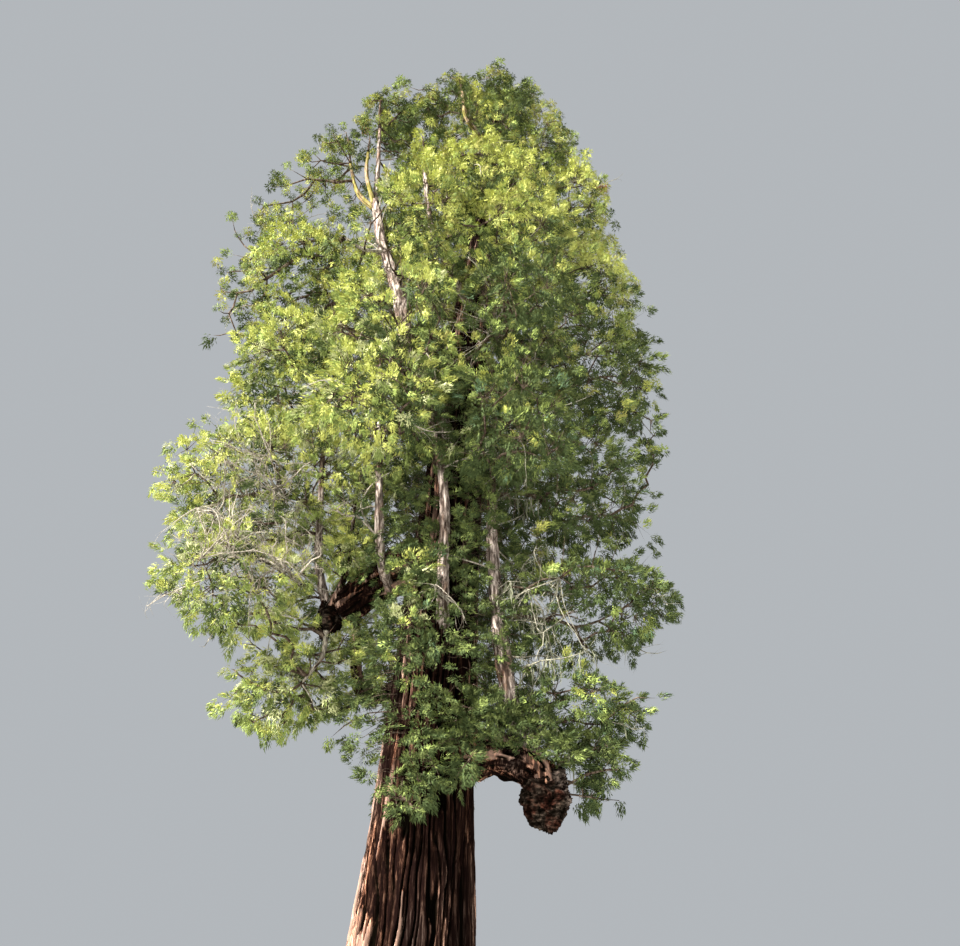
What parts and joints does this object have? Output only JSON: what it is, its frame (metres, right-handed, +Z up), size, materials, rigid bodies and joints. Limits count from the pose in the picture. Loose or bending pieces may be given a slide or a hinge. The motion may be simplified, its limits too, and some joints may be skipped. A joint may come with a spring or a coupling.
{
  "type": "redwood tree",
  "caption": "Old coast redwood rooted in the ground: flared leaning trunk, burled candelabra limbs and a tall column of foliage masses.",
  "frame": {"origin": "middle of the flat cut under the trunk, at ground level", "axes": "+Z up the trunk, +X to the right as the picture shows the tree, +Y away from the viewer"},
  "size_m": [15.6091, 12.6402, 39.6864],
  "materials": {
    "bark": "deeply furrowed fibrous red-brown bark",
    "pale_bark": "weathered grey-tan bark on the leaders",
    "mossy_bark": "bark with yellow-green moss",
    "dead_wood": "bleached dead wood",
    "foliage": "needle sprays from yellow-green to dark green"
  },
  "bodies": {
    "root": {"trunk": "bark", "right_burl": "bark", "left_burl": "bark", "right_limb": "bark", "left_limb": "bark", "left_leader_fork": "bark", "back_leader": "bark", "back_leader_left": "bark", "right_leader": "pale_bark", "left_leader_outer": "pale_bark", "left_leader_inner": "pale_bark", "front_leader": "pale_bark", "upper_left_leader": "pale_bark", "upper_left_fork_1": "pale_bark", "upper_front_leader": "pale_bark", "upper_left_fork_2": "mossy_bark", "upper_left_fork_3": "mossy_bark", "top_limb": "mossy_bark", "left_dead_limb": "dead_wood", "upper_left_dead_limb": "dead_wood", "crest_mass_1": "foliage", "crest_mass_2": "foliage", "crest_mass_3": "foliage", "upper_mass_1": "foliage", "upper_mass_2": "foliage", "upper_mass_3": "foliage", "upper_mass_4": "foliage", "shoulder_mass_1": "foliage", "shoulder_mass_2": "foliage", "shoulder_mass_3": "foliage", "shoulder_mass_4": "foliage", "broad_mass_1": "foliage", "broad_mass_2": "foliage", "broad_mass_3": "foliage", "broad_mass_4": "foliage", "broad_mass_5": "foliage", "broad_mass_6": "foliage", "middle_mass_1": "foliage", "middle_mass_2": "foliage", "middle_mass_3": "foliage", "middle_mass_4": "foliage", "middle_mass_5": "foliage", "middle_mass_6": "foliage", "lower_mass_1": "foliage", "lower_mass_2": "foliage", "lower_mass_3": "foliage", "lower_mass_4": "foliage", "lower_mass_5": "foliage", "lower_mass_6": "foliage", "left_crest_mass": "foliage", "left_upper_mass": "foliage", "left_shoulder_mass": "foliage", "left_skirt_mass": "foliage", "left_hem_mass": "foliage", "right_skirt_mass": "foliage", "right_hem_mass": "foliage", "right_tail_mass": "foliage", "back_skirt_mass": "foliage", "back_hem_mass": "foliage", "front_spray_mass": "foliage"}
  },
  "joints": []
}
